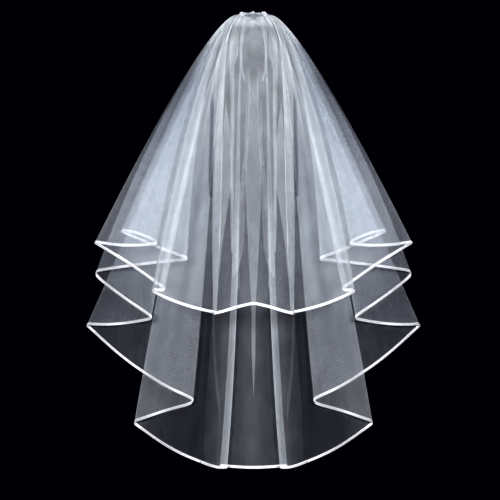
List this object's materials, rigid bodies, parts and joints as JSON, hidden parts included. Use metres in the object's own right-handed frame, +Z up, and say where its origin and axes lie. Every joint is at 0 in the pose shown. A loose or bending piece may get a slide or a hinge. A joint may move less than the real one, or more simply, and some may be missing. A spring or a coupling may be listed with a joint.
{
  "type": "bridal veil",
  "caption": "Tiered bridal veil of fine net gathered onto a hair comb, with cascading side folds and a narrow satin ribbon edge, hanging hollow in its worn form.",
  "frame": {"origin": "middle of the comb's spine, where the comb holds the veil in the wearer's hair", "axes": "+Z up, +Y the way the wearer faces, so the veil's outside is seen from -Y; the veil is mirrored across x = 0"},
  "size_m": [0.6954, 0.2703, 0.9114],
  "materials": {
    "tulle": "sheer matte net",
    "satin_ribbon": "satin",
    "comb_plastic": "polished clear-white"
  },
  "bodies": {
    "root": {"upper_tier": "tulle", "lower_tier": "tulle", "upper_tier_ribbon": "satin_ribbon", "lower_tier_ribbon": "satin_ribbon", "heading": "tulle", "comb": "comb_plastic"}
  },
  "joints": []
}
